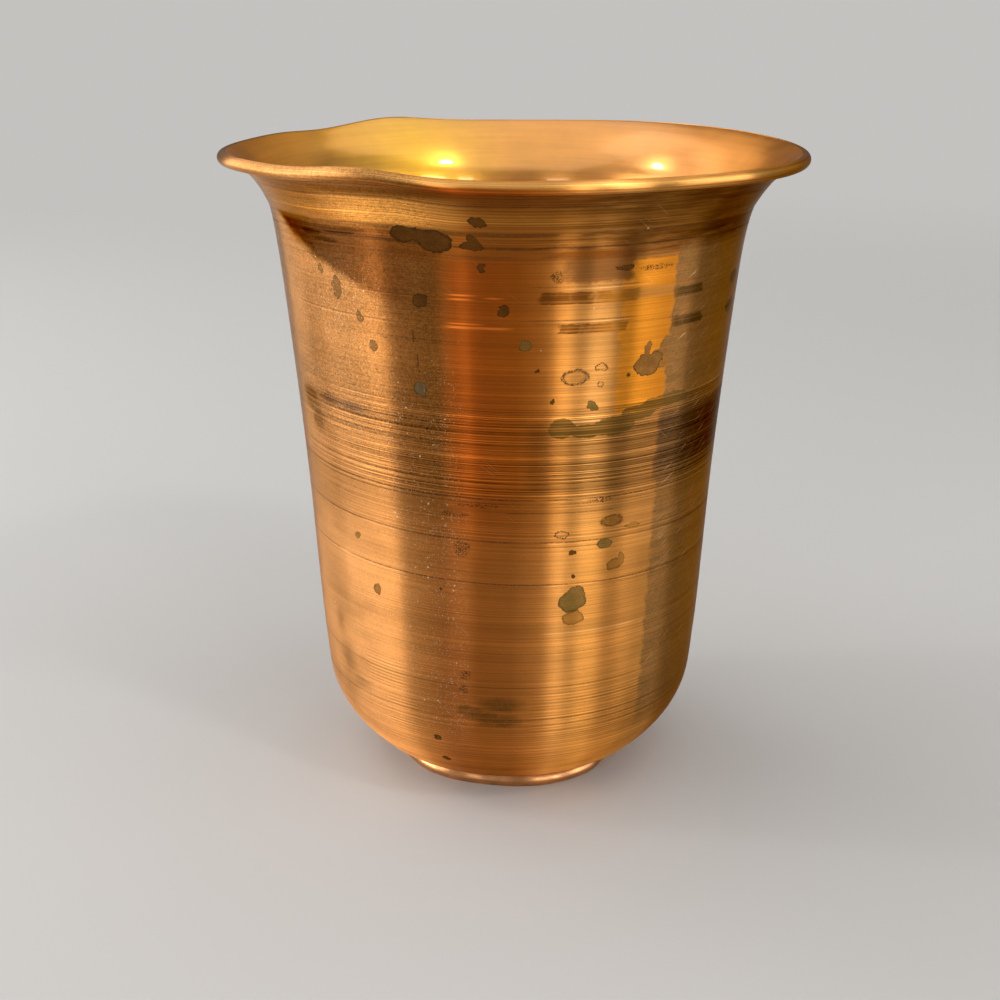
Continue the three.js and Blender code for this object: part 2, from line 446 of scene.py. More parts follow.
class Finish:
    """A material whose nodes are added one by one. Each method gives the new node's output."""

    def __init__(self, name):
        self.material = bpy.data.materials.new(name)
        self.material.use_nodes = True
        self.nodes = self.material.node_tree.nodes
        self.surface = self.nodes["Principled BSDF"]
        where = self.nodes.new("ShaderNodeTexCoord")
        self.place = self.vector("SCALE", where.outputs["Object"], scale=1 / MM)
        self.across, self.depth, self.height = self.parts(self.place)

    def join(self, value, socket):
        if isinstance(value, bpy.types.NodeSocket):
            self.material.node_tree.links.new(value, socket)
        elif value is not None:
            socket.default_value = value

    def set(self, name, value):
        self.join(value, self.surface.inputs[name])

    def math(self, operation, first, second=None, third=None, clamp=False):
        node = self.nodes.new("ShaderNodeMath")
        node.operation = operation
        node.use_clamp = clamp
        for value, socket in zip((first, second, third), node.inputs):
            self.join(value, socket)
        return node.outputs[0]

    def times(self, first, second):
        return self.math("MULTIPLY", first, second)

    def minus(self, first, second):
        return self.math("SUBTRACT", first, second)

    def most(self, first, second):
        return self.math("MAXIMUM", first, second)

    def add(self, total, value, share=1):
        """The total and a share of a value."""
        return self.math("MULTIPLY_ADD", value, share, total)

    def vector(self, operation, first, second=None, third=None, scale=None):
        node = self.nodes.new("ShaderNodeVectorMath")
        node.operation = operation
        for value, socket in zip((first, second, third), node.inputs):
            self.join(value, socket)
        if scale is not None:
            node.inputs["Scale"].default_value = scale
        return node.outputs["Value"] if operation == "LENGTH" else node.outputs["Vector"]

    def parts(self, vector):
        node = self.nodes.new("ShaderNodeSeparateXYZ")
        self.join(vector, node.inputs[0])
        return node.outputs

    def whole(self, *parts):
        node = self.nodes.new("ShaderNodeCombineXYZ")
        for value, socket in zip(parts, node.inputs):
            self.join(value, socket)
        return node.outputs[0]

    def noise(self, place, size, detail, roughness=0.5):
        """Soft noise about 0.5, whose features are about the given size in millimetres along x, y, z."""
        stretched = self.vector("MULTIPLY", place, tuple(1 / length for length in size))
        node = self.nodes.new("ShaderNodeTexNoise")
        node.inputs["Scale"].default_value = 1
        node.inputs["Detail"].default_value = detail
        node.inputs["Roughness"].default_value = roughness
        self.join(stretched, node.inputs["Vector"])
        return node.outputs["Fac"], node.outputs["Color"]

    def ramp(self, value, low, high, to_low=0.0, to_high=1.0, smooth=True):
        node = self.nodes.new("ShaderNodeMapRange")
        node.interpolation_type = "SMOOTHSTEP" if smooth else "LINEAR"
        names = ("Value", "From Min", "From Max", "To Min", "To Max")
        for name, number in zip(names, (value, low, high, to_low, to_high)):
            self.join(number, node.inputs[name])
        return node.outputs["Result"]

    def between(self, value, low, high, fade_low, fade_high):
        """1 from low to high, and less across a fade at each end."""
        rise = self.ramp(value, low - fade_low, low + fade_low)
        return self.times(rise, self.ramp(value, high - fade_high, high + fade_high, 1, 0))

    def mix(self, share, first, second):
        """From the first colour to the second as the share goes from 0 to 1."""
        node = self.nodes.new("ShaderNodeMix")
        node.data_type = "RGBA"
        self.join(share, node.inputs[0])
        for value, socket in ((first, node.inputs[6]), (second, node.inputs[7])):
            self.join((*value, 1) if isinstance(value, tuple) else value, socket)
        return node.outputs[2]

    def shade(self, colour, strength):
        """The colour times a number."""
        return self.vector("MULTIPLY", colour, self.whole(strength, strength, strength))

    def stops(self, share, points, smooth=False):
        """A colour for each share from 0 to 1, through a list of shares and colours."""
        node = self.nodes.new("ShaderNodeValToRGB")
        node.color_ramp.interpolation = "EASE" if smooth else "LINEAR"
        stops = node.color_ramp.elements
        while len(stops) < len(points):
            stops.new(0.5)
        for stop, (place, tone) in zip(stops, points):
            stop.position = place
            stop.color = (*tone, 1)
        self.join(share, node.inputs[0])
        return node.outputs[0]

    def curve(self, value, highest, points):
        """A smooth function of a value from 0 to the highest, through points of value and result."""
        points = [(place / highest, (result,) * 3) for place, result in points]
        return self.stops(self.math("DIVIDE", value, highest), points, smooth=True)

    def wheel(self, angle, tones):
        """A colour for each angle round the wall, through a list of angles and colours."""
        start = tones[0][0]
        end = tones[-1][0]
        points = [((place - start) / (end - start), tone) for place, tone in tones]
        return self.stops(self.ramp(angle, start, end, smooth=False), points)

    def by_angle(self, angle, numbers, highest):
        """A number for each angle round the wall. A colour stop ends at 1, so the stops hold shares."""
        tones = [(place, (number / highest,) * 3) for place, number in numbers]
        return self.times(self.wheel(angle, tones), float(highest))

    def nearest(self, place, marks):
        """Distance to the nearest mark: 0 at its middle and 1 at its edge."""
        least = 1000
        for angle, height, half_width, half_height in marks:
            sizes = Vector((1 / half_width, 1 / half_width, 1 / half_height))
            away = place_of(angle, height) * sizes
            moved = self.vector("MULTIPLY_ADD", place, tuple(sizes), tuple(-away))
            least = self.math("MINIMUM", self.vector("LENGTH", moved), least)
        return least

    def around(self):
        """Angle round the axis in degrees, from -270 to 90, with the seam at the back."""
        turn = self.math("ARCTAN2", self.across, self.times(self.depth, -1.0))
        return self.math("MULTIPLY_ADD", turn, math.degrees(1), -90.0)

    def specks(self, cell, size, share):
        """Small round specks, at most one in each cell, in a share of the cells."""
        node = self.nodes.new("ShaderNodeTexVoronoi")
        node.inputs["Scale"].default_value = 1 / cell
        self.join(self.place, node.inputs["Vector"])
        parts = self.nodes.new("ShaderNodeSeparateColor")
        self.join(node.outputs["Color"], parts.inputs[0])
        chosen = self.math("LESS_THAN", parts.outputs[0], share)
        reach = self.ramp(parts.outputs[1], 0, 1, 0.6 * size / cell, size / cell)
        return self.times(self.math("LESS_THAN", node.outputs["Distance"], reach), chosen)

    def relief(self, height, distance):
        """Relief too fine for the mesh, up to the given depth in millimetres."""
        node = self.nodes.new("ShaderNodeBump")
        node.inputs["Strength"].default_value = 1
        node.inputs["Distance"].default_value = distance * MM
        self.join(height, node.inputs["Height"])
        self.set("Normal", node.outputs["Normal"])

    def turned_grain(self, anisotropy):
        """Stretches the highlights across the turning lines, as fine grooves do."""
        tangent = self.nodes.new("ShaderNodeTangent")
        tangent.direction_type = "RADIAL"
        tangent.axis = "Z"
        self.join(tangent.outputs[0], self.surface.inputs["Tangent"])
        self.set("Anisotropic", anisotropy)
        self.set("Anisotropic Rotation", 0.25)


# Marks on the outer face: angle, height, half width and half height.
# Hard-edged spots of dark brown tarnish.
BROWN_SPOTS = [
    (-113, 87.6, 2.2, 1.1), (-106.6, 86.9, 2.5, 1.5), (-110, 87.4, 1.6, 0.9), (-97, 89.5, 1.1, 0.9),
    (-98.6, 86.4, 1.5, 0.75), (-98.2, 87.1, 0.8, 0.9), (-96.6, 83.6, 0.6, 0.7),
    (-110.8, 78.8, 1.2, 1), (-92, 77.9, 0.8, 0.9), (-84, 69.5, 0.35, 0.35), (-80, 65.4, 0.4, 0.4),
    (-61.6, 68.2, 0.35, 0.35), (-73.9, 43.2, 0.55, 0.4), (-73.2, 39.5, 0.35, 0.35),
    (-108.8, 37.4, 0.35, 0.35), (-112.3, 12.8, 0.6, 0.6), (-111.7, 8.3, 0.6, 0.8),
    (-64.6, 83.1, 1.4, 0.4), (25, 52, 0.8, 0.7), (63, 40, 1.1, 1.2), (80, 66, 0.8, 0.9),
    (118, 74, 2.2, 1.5), (124, 72.6, 1.2, 0.9), (158, 33, 1.3, 0.9), (-170, 58, 0.8, 0.8),
]
# Spots of paler, mauve brown.
PALE_SPOTS = [
    (-56.3, 69.3, 2.3, 1.6), (-54, 70, 1.4, 1), (-56.5, 71.3, 0.5, 1.4), (-129.6, 35.1, 0.75, 0.95),
    (-135.6, 42.7, 0.6, 0.5), (18, 70, 1.4, 1.1), (48, 81, 2, 1.2), (97, 28, 1.6, 1.3),
    (140, 47, 0.9, 0.8), (171, 84, 1.6, 0.9),
]
# Spots of grey olive.
GREEN_SPOTS = [
    (-111.8, 66.6, 0.9, 1.1), (-87, 73.3, 0.8, 0.8), (-70.8, 64.6, 0.8, 0.6),
    (-69.8, 64.1, 0.6, 0.5), (-65, 43.8, 1.3, 0.75), (-73.4, 35.6, 2.1, 1.7),
    (-72.4, 36.8, 1.4, 1.2), (35, 61, 1, 0.9), (105, 55, 1.3, 0.8),
]
# Faint spots with a dark rim, which the metal shows through.
FAINT_SPOTS = [
    (-139, 81.3, 0.6, 0.7), (-134, 79.2, 0.9, 1.7), (-127.4, 75.6, 0.7, 1), (-124, 71.9, 0.9, 0.8),
    (-124.6, 83.8, 0.25, 0.5), (-61.5, 40.4, 1.3, 0.8), (-59.5, 40.9, 0.7, 1),
    (-73.1, 33, 1.7, 1.1), (-62.9, 47.1, 1.7, 0.8), (-56.3, 45.9, 1.4, 0.35), (133, 60, 1.2, 0.8),
]
# Spots worn away in the middle, so that a broken ring is left.
WORN_SPOTS = [
    (-75.2, 68.6, 1.9, 1.1), (-68.7, 69.7, 0.9, 0.5), (-68.8, 67.3, 0.45, 0.45),
    (-77, 45.9, 1.2, 0.5), (72, 74, 1.7, 1),
]
# Clusters of small dark specks.
SPECKLED = [
    (-102.9, 43.9, 1.2, 1.3), (-102.6, 24.1, 1, 0.8), (-103.4, 21.8, 0.5, 0.8),
    (-104.3, 49, 2.2, 0.45), (-98.8, 50.4, 3, 0.35), (-56, 82.7, 3.2, 0.4), (-80, 82.3, 0.9, 0.9),
    (-62.9, 47.1, 2.1, 1), (-66.5, 50.6, 2, 0.5),
]
# Smears of olive tarnish that follow the turning lines.
STAINS = [
    (-78.2, 61.5, 2, 1.5), (-71.6, 60.9, 3, 1), (-64.6, 61.2, 3.4, 1.4), (-57.5, 62.6, 3.2, 1.1),
    (-52.5, 63.4, 2.6, 1), (-47.7, 63.6, 4.3, 1), (22, 77, 7, 0.9), (60, 60, 8, 1.6),
    (110, 38, 6, 1.2), (150, 64, 7, 1.4), (92, 83, 9, 0.8),
]
# Bars of tarnish between two turning lines: height, half width, and the angles it runs between.
BARS = [
    (79.5, 0.8, -84, -60.6), (75.4, 0.6, -79.5, -63.2), (79, 0.6, -50, -40), (75, 0.7, -50, -39),
]
# Dark streaks of dirt.
STREAKS = [
    (-141, 86.3, 2.4, 0.45), (-135.5, 85.6, 2.6, 0.35), (-131.5, 87, 3.4, 0.4),
    (-126.5, 87.4, 2.4, 0.25), (-21, 78.4, 2.4, 1), (-20.5, 74.2, 2.6, 1.1),
]
# Where the brown patina at the right spreads over the clean metal beside it.
SPREADS = [
    (-52.4, 69.9, 2.3, 1.5), (-51, 71.6, 1.2, 1.4),
]
# Soft dark smudges.
SMUDGES = [
    (-153, 61.4, 3.6, 2.6), (-150, 58.5, 2.6, 2.2), (-142, 62.6, 3.6, 1), (-134, 62.4, 4, 0.9),
    (-103.3, 18.5, 1.3, 1), (-100.3, 17.9, 2, 1.4), (-96.6, 17.2, 2.6, 1.6), (-92, 16.8, 3, 1.4),
    (-93, 19.5, 4, 1.6),
]
# Fainter ones.
SMEARS = [
    (-149, 27, 1.8, 3), (-146, 21.5, 2.6, 3.4), (-140, 18.5, 3.4, 2),
]
# Turning lines that hold dark dirt: height, half width and how dark.
DARK_LINES = [
    (91.6, 0.16, 0.5), (90.6, 0.08, 0.35), (87.9, 0.16, 0.55), (86.1, 0.2, 0.7), (84.9, 0.13, 0.5),
    (84.1, 0.1, 0.4), (51.3, 0.13, 0.85), (50.7, 0.1, 0.5), (45, 0.12, 0.7), (38.6, 0.13, 0.7),
    (38.0, 0.08, 0.4), (27.7, 0.11, 0.35), (22.3, 0.1, 0.35), (16.9, 0.13, 0.4),
]
# Dark lines that run part of the way round: height, half width, and the angles of their ends.
SHORT_LINES = [
    (79.8, 0.07, -124, -112), (79.2, 0.06, -124, -112), (75.5, 0.09, -150, -118),
    (81, 0.07, -86, -60), (76.6, 0.07, -86, -61), (76.1, 0.06, -85, -62), (49.4, 0.08, -92, -62),
    (44.3, 0.07, -90, -64),
]
# Polished turning lines, in the same form.
BRIGHT_LINES = [
    (30.9, 0.09, -81, -54), (62.5, 0.12, -77, -68), (80.7, 0.05, -78, -58), (76.35, 0.05, -78, -63),
]
# Short bright red painted reflections, in the same form.
PAINTED_RED_GLINTS = [
    (79.8, 0.12, -103.5, -98.5), (79.25, 0.13, -103.5, -99), (79.5, 0.14, -95.3, -92.8),
    (75.95, 0.1, -104, -97), (75.45, 0.16, -104.5, -90.5),
]
# Stretches with evenly spaced tool marks: left, right, low and high, and the fade at each edge.
COMBS = [
    (-136, -122, 19, 25, 2, 2, 1, 1), (-129, -118, 13.5, 19.5, 2, 2, 1, 1),
    (-84, -48, 14.5, 21.5, 2, 2, 1, 1),
]
COMB_PITCH = 0.52

# The copper's colour round the wall, by angle: above the waist, and below it. Its lighter, darker and red
# bands are partly painted reflections.
UPPER_TONES = [
    (-270, (0.42, 0.175, 0.055)),
    (-185, (0.32, 0.155, 0.07)),
    (-157, (0.3, 0.14, 0.055)),
    (-143, (0.38, 0.165, 0.053)),
    (-132, (0.34, 0.148, 0.045)),
    (-123, (0.42, 0.172, 0.045)),
    (-115, (0.34, 0.125, 0.027)),
    (-108, (0.26, 0.095, 0.017)),
    (-103, (0.3, 0.068, 0.008)),
    (-100, (0.47, 0.102, 0.011)),
    (-96, (0.39, 0.09, 0.009)),
    (-89, (0.38, 0.097, 0.009)),
    (-84, (0.47, 0.14, 0.019)),
    (-78, (0.6, 0.235, 0.045)),
    (-71, (0.58, 0.255, 0.062)),
    (-65, (0.42, 0.18, 0.04)),
    (-45, (0.34, 0.135, 0.035)),
    (0, (0.38, 0.155, 0.048)),
    (90, (0.42, 0.175, 0.055)),
]
LOWER_TONES = [
    (-270, (0.45, 0.19, 0.058)),
    (-182, (0.4, 0.2, 0.09)),
    (-154, (0.54, 0.255, 0.094)),
    (-131, (0.56, 0.245, 0.077)),
    (-120, (0.66, 0.275, 0.075)),
    (-113, (0.54, 0.198, 0.045)),
    (-106, (0.36, 0.115, 0.026)),
    (-98, (0.37, 0.115, 0.019)),
    (-90, (0.4, 0.132, 0.024)),
    (-84, (0.56, 0.2, 0.04)),
    (-77, (0.7, 0.295, 0.068)),
    (-69, (0.7, 0.29, 0.058)),
    (-61, (0.72, 0.29, 0.062)),
    (-53, (0.42, 0.175, 0.038)),
    (-45, (0.36, 0.155, 0.042)),
    (0, (0.38, 0.16, 0.052)),
    (90, (0.45, 0.19, 0.058)),
]
# The copper's colour under the lip, by height, from the throat to the bead.
FLARE_TONES = [
    (83.4, (0.36, 0.1, 0.013)),
    (84.6, (0.26, 0.075, 0.01)),
    (86.4, (0.21, 0.07, 0.01)),
    (88, (0.27, 0.093, 0.014)),
    (89.6, (0.36, 0.14, 0.022)),
    (91.2, (0.33, 0.122, 0.018)),
    (91.9, (0.24, 0.083, 0.012)),
    (93.3, (0.24, 0.083, 0.012)),
]
# What that colour is multiplied by, by angle.
FLARE_SHADE = [
    (-160, 1), (-85, 1.1), (-73, 0.8), (-67, 0.6), (-50, 0.42), (-40, 0.34), (-10, 0.5), (90, 0.8),
]
# The curled edge, by angle: brightest at the front, which is partly a painted highlight, and duller at the
# left.
BEAD_TONES = [
    (-270, (0.7, 0.33, 0.1)),
    (-180, (0.5, 0.24, 0.08)),
    (-125, (0.5, 0.24, 0.08)),
    (-104, (1.0, 0.46, 0.12)),
    (-20, (0.95, 0.43, 0.11)),
    (90, (0.7, 0.33, 0.1)),
]
# The metal's tint where it is seen at a grazing angle.
EDGE_TONES = [
    (-270, (0.85, 0.62, 0.45)),
    (-150, (0.95, 0.74, 0.57)),
    (-120, (0.85, 0.65, 0.5)),
    (-60, (0.6, 0.42, 0.28)),
    (0, (0.6, 0.42, 0.28)),
    (90, (0.85, 0.62, 0.45)),
]
# The patina down the right side, by angle.
RIGHT_TONES = [
    (-55, (0.155, 0.076, 0.024)),
    (-46, (0.2, 0.1, 0.033)),
    (-40, (0.27, 0.13, 0.042)),
    (-28, (0.36, 0.175, 0.07)),
    (20, (0.36, 0.19, 0.085)),
]
# A painted shadow of the lip on the wall below it, at the left: its lower edge by angle, and its colour.
LIP_SHADOW_EDGE = [(-190, 92), (-165, 90.8), (-152, 86), (-140, 82.2), (-125, 79), (-118, 77.9), (-100, 77.7)]
LIP_SHADOW_TONES = [
    (-160, (0.085, 0.05, 0.036)),
    (-146, (0.068, 0.033, 0.018)),
    (-137, (0.062, 0.026, 0.01)),
    (-127, (0.1, 0.034, 0.008)),
    (-120, (0.24, 0.078, 0.016)),
    (-113, (0.23, 0.076, 0.015)),
    (-108, (0.17, 0.057, 0.012)),
]
# The well's colour, by angle: redder at the right, more golden at the left of the back.
WELL_TONES = [
    (-270, (0.86, 0.38, 0.075)),
    (-245, (0.95, 0.5, 0.04)),
    (-215, (0.93, 0.43, 0.08)),
    (-194, (0.76, 0.33, 0.07)),
    (-90, (0.66, 0.28, 0.06)),
    (0, (0.68, 0.28, 0.075)),
    (40, (0.77, 0.32, 0.085)),
    (90, (0.86, 0.38, 0.075)),
]
# Stretches of the outer face: left, right, low and high, and the fade at each of those edges.
LEFT_HIGH = (-149, -126, 55.5, 80, 3, 3, 2, 2)
FRONT_ROUGH = (-86, -45, 52.5, 62.5, 3, 5, 1, 1)
# The orange patch: clean metal that is partly a painted reflection.
CLEAN_PATCH_AND_REFLECTION = (-64.5, -50.4, 63.2, 84, 1.6, 0.3, 0.1, 0.3)
CROSSING_BAND = (-63, -50, 78.9, 80.3, 1, 0.4, 0.12, 0.12)
BROWN_FILM = (-79, -62.5, 81.4, 86, 3, 1, 0.3, 1)
FLARE = (-152, 60, 84.4, 93.5, 6, 20, 0.8, 0.4)
# A golden painted reflection under the lip, at the left.
PAINTED_SHEEN_UNDER_LIP = (-129, -104, 88.6, 92.4, 9, 9, 0.9, 0.7)
RIGHT_HIGH = (-50, 20, 62.5, 85, 0.4, 20, 0.3, 1)
RIGHT_LOW = (-49.3, 20, 14, 62.5, 0.8, 20, 4, 0.5)
RIGHT_ROUGH = (-50.8, 10, 53, 62.5, 1, 20, 2, 0.6)
# The stretch that the painted shadow of the lip covers.
LIP_SHADOW_CORNER = (-175, -115, 70, 88, 6, 5, 1, 0.9)
SMOOTH_LEFT = (-165, -116, 22, 48, 8, 5, 5, 4)
SCRATCHED_RIGHT = (-48, 15, 20, 84, 2, 20, 10, 3)
DUSTY_FRONT = (-124, -103, 12, 70, 6, 4, 6, 8)
SANDY_LEFT = (-158, -121, 56, 82, 4, 5, 4, 4)
# One dark hairline, in two parts: angle, height, half width and half height.
HAIRLINE = [(-112.9, 73.4, 0.12, 1.9), (-112.1, 70, 0.12, 2.1)]
# The shade of the turning lines, from the darkest strand of the noise to the brightest.
STRAND_CURVE = [(0, 0.3), (0.36, 0.42), (0.48, 0.62), (0.56, 0.64), (0.64, 1), (1, 1)]
STRAND_MIDDLE = 0.64
# How far ragged edges wander: degrees for each millimetre, and the share of it that the bars take.
JAG_TURN = 2.5
BAR_JAG = 0.35


def leaning_height(finish):
    """Height along the turning lines, which lean."""
    most = max(LEAN_FALLS)
    falls = [(height, fall / most) for height, fall in zip(LEAN_HEIGHTS, LEAN_FALLS)]
    fall = finish.curve(finish.height, LEAN_HEIGHTS[-1] + LEAN_HEIGHTS[0], falls)
    return finish.add(finish.height, finish.times(fall, most), finish.across)


def unbent_height(finish, angle, level):
    """The level before the mouth was bent, so that lines under the lip follow its bends."""
    turns = np.linspace(-270, 90, 31)
    lifts = list(zip(turns, mouth_bend(turns)[0] + LIFT_RANGE / 2))
    lift = finish.minus(finish.by_angle(angle, lifts, LIFT_RANGE), LIFT_RANGE / 2)
    reach = finish.ramp(finish.height, BEND_START, BEND_FULL)
    return finish.minus(level, finish.times(lift, reach))


def outer_copper():
    """The cup's outer face, from the bare metal up. Cover lays a tone over the colour so far."""
    finish = Finish("cup_outer_copper")
    add = finish.add
    times = finish.times
    minus = finish.minus
    most = finish.most
    mix = finish.mix
    ramp = finish.ramp
    wheel = finish.wheel
    nearest = finish.nearest
    noise = finish.noise
    specks = finish.specks
    place = finish.place
    angle = finish.around()
    level = leaning_height(finish)
    line_level = unbent_height(finish, angle, level)
    lined_place = finish.whole(finish.across, finish.depth, line_level)

    # Noises drawn out along the turning lines, and then some that are about as long as high.
    hair, _ = noise(lined_place, (60, 60, 0.2), 1, 0.5)
    strand, _ = noise(lined_place, (110, 110, 0.19), 1, 0.6)
    breaks, _ = noise(lined_place, (10, 10, 1.1), 3, 0.7)
    broad, _ = noise(lined_place, (70, 70, 2.4), 2, 0.6)
    cloud, _ = noise(place, (14, 14, 10), 3, 0.6)
    patch, _ = noise(place, (2.4, 2.4, 2.4), 2, 0.6)
    grain, _ = noise(place, (0.22, 0.22, 0.2), 1, 0.6)
    dapple, _ = noise(place, (0.5, 0.5, 0.42), 2, 0.7)

    # The place, angle and level, shifted a little from point to point, so that edges are ragged.
    _, wide = noise(place, (1.7, 1.7, 1.4), 1)
    _, fine = noise(place, (0.5, 0.5, 0.45), 1)
    wide = finish.vector("MULTIPLY_ADD", wide, (1.1, 1.1, 0.9), (-0.55, -0.55, -0.45))
    fine = finish.vector("MULTIPLY_ADD", fine, (0.5, 0.5, 0.45), (-0.25, -0.25, -0.22))
    ragged = finish.vector("ADD", finish.vector("ADD", place, wide), fine)
    smeared = finish.vector("MULTIPLY_ADD", wide, (1.6, 1.6, 0.5), finish.vector("ADD", place, fine))
    jag, _, rise = finish.parts(finish.vector("ADD", wide, fine))
    jagged_angle = add(angle, jag, JAG_TURN)
    jagged_level = add(level, rise)
    bar_level = add(level, rise, BAR_JAG)

    def area(stretch, sides=angle, ends=level):
        """A share that is 1 in a stretch of the wall, and fades at its edges."""
        left, right, low, high, *fades = stretch
        across = finish.between(sides, left, right, *fades[:2])
        return times(across, finish.between(ends, low, high, *fades[2:]))

    def line_marks(lines, up=level, along=angle, fade=2.0):
        """A share that is 1 on each of the listed stretches of line."""
        share = 0
        for height, half_width, left, right in lines:
            on = finish.math("COMPARE", up, float(height), half_width)
            share = most(times(on, finish.between(along, left, right, fade, fade)), share)
        return share

    def strokes(slope, length, width, low, high):
        """Short straight scratches over the wall at a slope in degrees."""
        along = times(angle, math.radians(BODY_RADIUS))
        c = math.cos(math.radians(slope))
        s = math.sin(math.radians(slope))
        u = add(times(along, c / length), level, s / length)
        v = add(times(along, -s / width), level, c / width)
        node = finish.nodes.new("ShaderNodeTexNoise")
        node.noise_dimensions = "2D"
        node.inputs["Scale"].default_value = 1
        node.inputs["Detail"].default_value = 0
        finish.join(finish.whole(u, v), node.inputs["Vector"])
        return ramp(node.outputs["Fac"], low, high)

    def cover(share, tone, strength=1):
        if strength != 1:
            share = times(share, strength)
        finish.colour = mix(share, finish.colour, tone)

    def multiply(strength):
        finish.colour = finish.shade(finish.colour, strength)

    # The bare metal, whose bands round the wall are partly painted reflections.
    finish.colour = mix(ramp(level, 38, 56, 1, 0), wheel(angle, UPPER_TONES), wheel(angle, LOWER_TONES))
    multiply(ramp(broad, 0.3, 0.7, 0.93, 1.07))
    multiply(ramp(cloud, 0.3, 0.7, 0.9, 1.08))
    # Lighter towards the bottom, at the heel: a painted reflection.
    multiply(ramp(level, 8, 15, 1.3, 1))
    multiply(ramp(area(LEFT_HIGH), 0, 1, 1, 0.84))
    multiply(ramp(area(FRONT_ROUGH), 0, 1, 1, 0.69))

    # Clean metal that has gone orange, partly a painted reflection that darkens to its right, the brown
    # band that crosses it, and the film beside it.
    orange = mix(ramp(angle, -61, -51), (0.73, 0.252, 0.018), (0.45, 0.15, 0.011))
    cover(area(CLEAN_PATCH_AND_REFLECTION, jagged_angle, jagged_level), orange, 0.9)
    cover(area(CROSSING_BAND, jagged_angle), (0.33, 0.14, 0.03), 0.7)
    cover(area(BROWN_FILM, jagged_angle, jagged_level), (0.165, 0.06, 0.015), 0.85)

    # Brown patina under the lip, a painted golden reflection on a stretch of it, and the curled edge, whose
    # bright front is partly a painted highlight.
    streaky = ramp(breaks, 0.3, 0.62, 0.6, 1)
    flare_tone = finish.shade(wheel(line_level, FLARE_TONES), finish.by_angle(angle, FLARE_SHADE, 2))
    cover(area(FLARE, jagged_angle), flare_tone, streaky)
    painted_flare_sheen = area(PAINTED_SHEEN_UNDER_LIP)
    cover(painted_flare_sheen, (0.94, 0.395, 0.075), 0.85)
    bead = ramp(line_level, 94.45, 94.8)
    cover(bead, wheel(angle, BEAD_TONES))

    # Brown patina down the right side, darker where it was turned roughly.
    brown_right = most(area(RIGHT_HIGH, jagged_angle, jagged_level), area(RIGHT_LOW, jagged_angle))
    brown_right = most(brown_right, ramp(nearest(ragged, SPREADS), 0.96, 1, 1, 0))
    brown_right = times(brown_right, streaky)
    cover(brown_right, wheel(angle, RIGHT_TONES), 0.87)
    rough_right = area(RIGHT_ROUGH, jagged_angle)
    cover(rough_right, (0.085, 0.042, 0.018), 0.78)

    # A painted shadow of the lip at the left, above a slanting edge.
    above = minus(jagged_level, finish.by_angle(angle, LIP_SHADOW_EDGE, 100))
    painted_lip_shadow = times(ramp(above, -0.8, 1.4), area(LIP_SHADOW_CORNER))
    cover(painted_lip_shadow, wheel(angle, LIP_SHADOW_TONES), 0.95)

    # Turning lines, fine everywhere and strong in the rough band.
    near_rough = finish.between(level, ROUGH_BAND_LOW - 7, ROUGH_BAND_HIGH, 3, 0.8)
    in_rough = finish.between(level, ROUGH_BAND_LOW, ROUGH_BAND_HIGH, 0.8, 0.8)
    strength = add(add(0.12, near_rough, 0.25), in_rough, 0.5)
    strength = add(add(strength, ramp(level, 84, 87), 0.3), ramp(level, 12, 20, 1, 0), 0.15)
    strength = times(strength, ramp(breaks, 0.3, 0.6, 0.45, 1.15))
    strength = times(strength, ramp(finish.between(angle, -185, -140, 15, 13), 0, 1, 1, 0.4))
    lines = times(minus(finish.curve(strand, 1, STRAND_CURVE), STRAND_MIDDLE), 2.6)
    shade = add(1, lines, strength)

    # The grain between them, coarser at both sides, and the marks of a tool at the bottom.
    left_grain = times(finish.between(angle, -200, -106, 10, 3), ramp(level, 46, 62, 0.25, 1))
    grainy = add(add(0.2, left_grain, 0.95), brown_right, 0.35)
    dappled = add(times(brown_right, 0.7), left_grain, 1.1)
    hairy = ramp(area(SMOOTH_LEFT), 0, 1, 0.6, 0.22)
    for texture, share in ((grain, grainy), (dapple, dappled), (hair, hairy)):
        shade = add(shade, minus(texture, 0.5), share)
    combed = 0
    for stretch in COMBS:
        combed = most(area(stretch), combed)
    combed = times(combed, ramp(breaks, 0.35, 0.6, 0.05, 0.3))
    multiply(add(shade, finish.math("SINE", times(level, 2 * math.pi / COMB_PITCH)), combed))

    # Polished lines, red painted reflections, and lines that hold dirt.
    cover(line_marks(BRIGHT_LINES), (0.85, 0.5, 0.2), 0.45)
    cover(line_marks(PAINTED_RED_GLINTS), (1.0, 0.24, 0.03), 0.6)
    dirt = 0
    for height, half_width, darkness in DARK_LINES:
        dirt = add(dirt, finish.math("COMPARE", line_level, float(height), half_width), darkness)
    dirt = times(dirt, ramp(breaks, 0.32, 0.5))
    dirt = finish.math("MULTIPLY_ADD", line_marks(SHORT_LINES, line_level), 0.55, dirt, clamp=True)
    cover(dirt, (0.09, 0.035, 0.012), ramp(grain, 0.36, 0.52, 0.3, 1))

    # Scratches, worn bright, and one dark hairline.
    slanted = times(strokes(27, 4.5, 0.16, 0.78, 0.85), area(SCRATCHED_RIGHT))
    few = strokes(-38, 6, 0.12, 0.89, 0.92)
    cover(most(times(slanted, 0.42), times(few, 0.2)), (0.8, 0.5, 0.24))
    cover(ramp(nearest(place, HAIRLINE), 0.7, 1.1, 0.8, 0), (0.09, 0.035, 0.01))

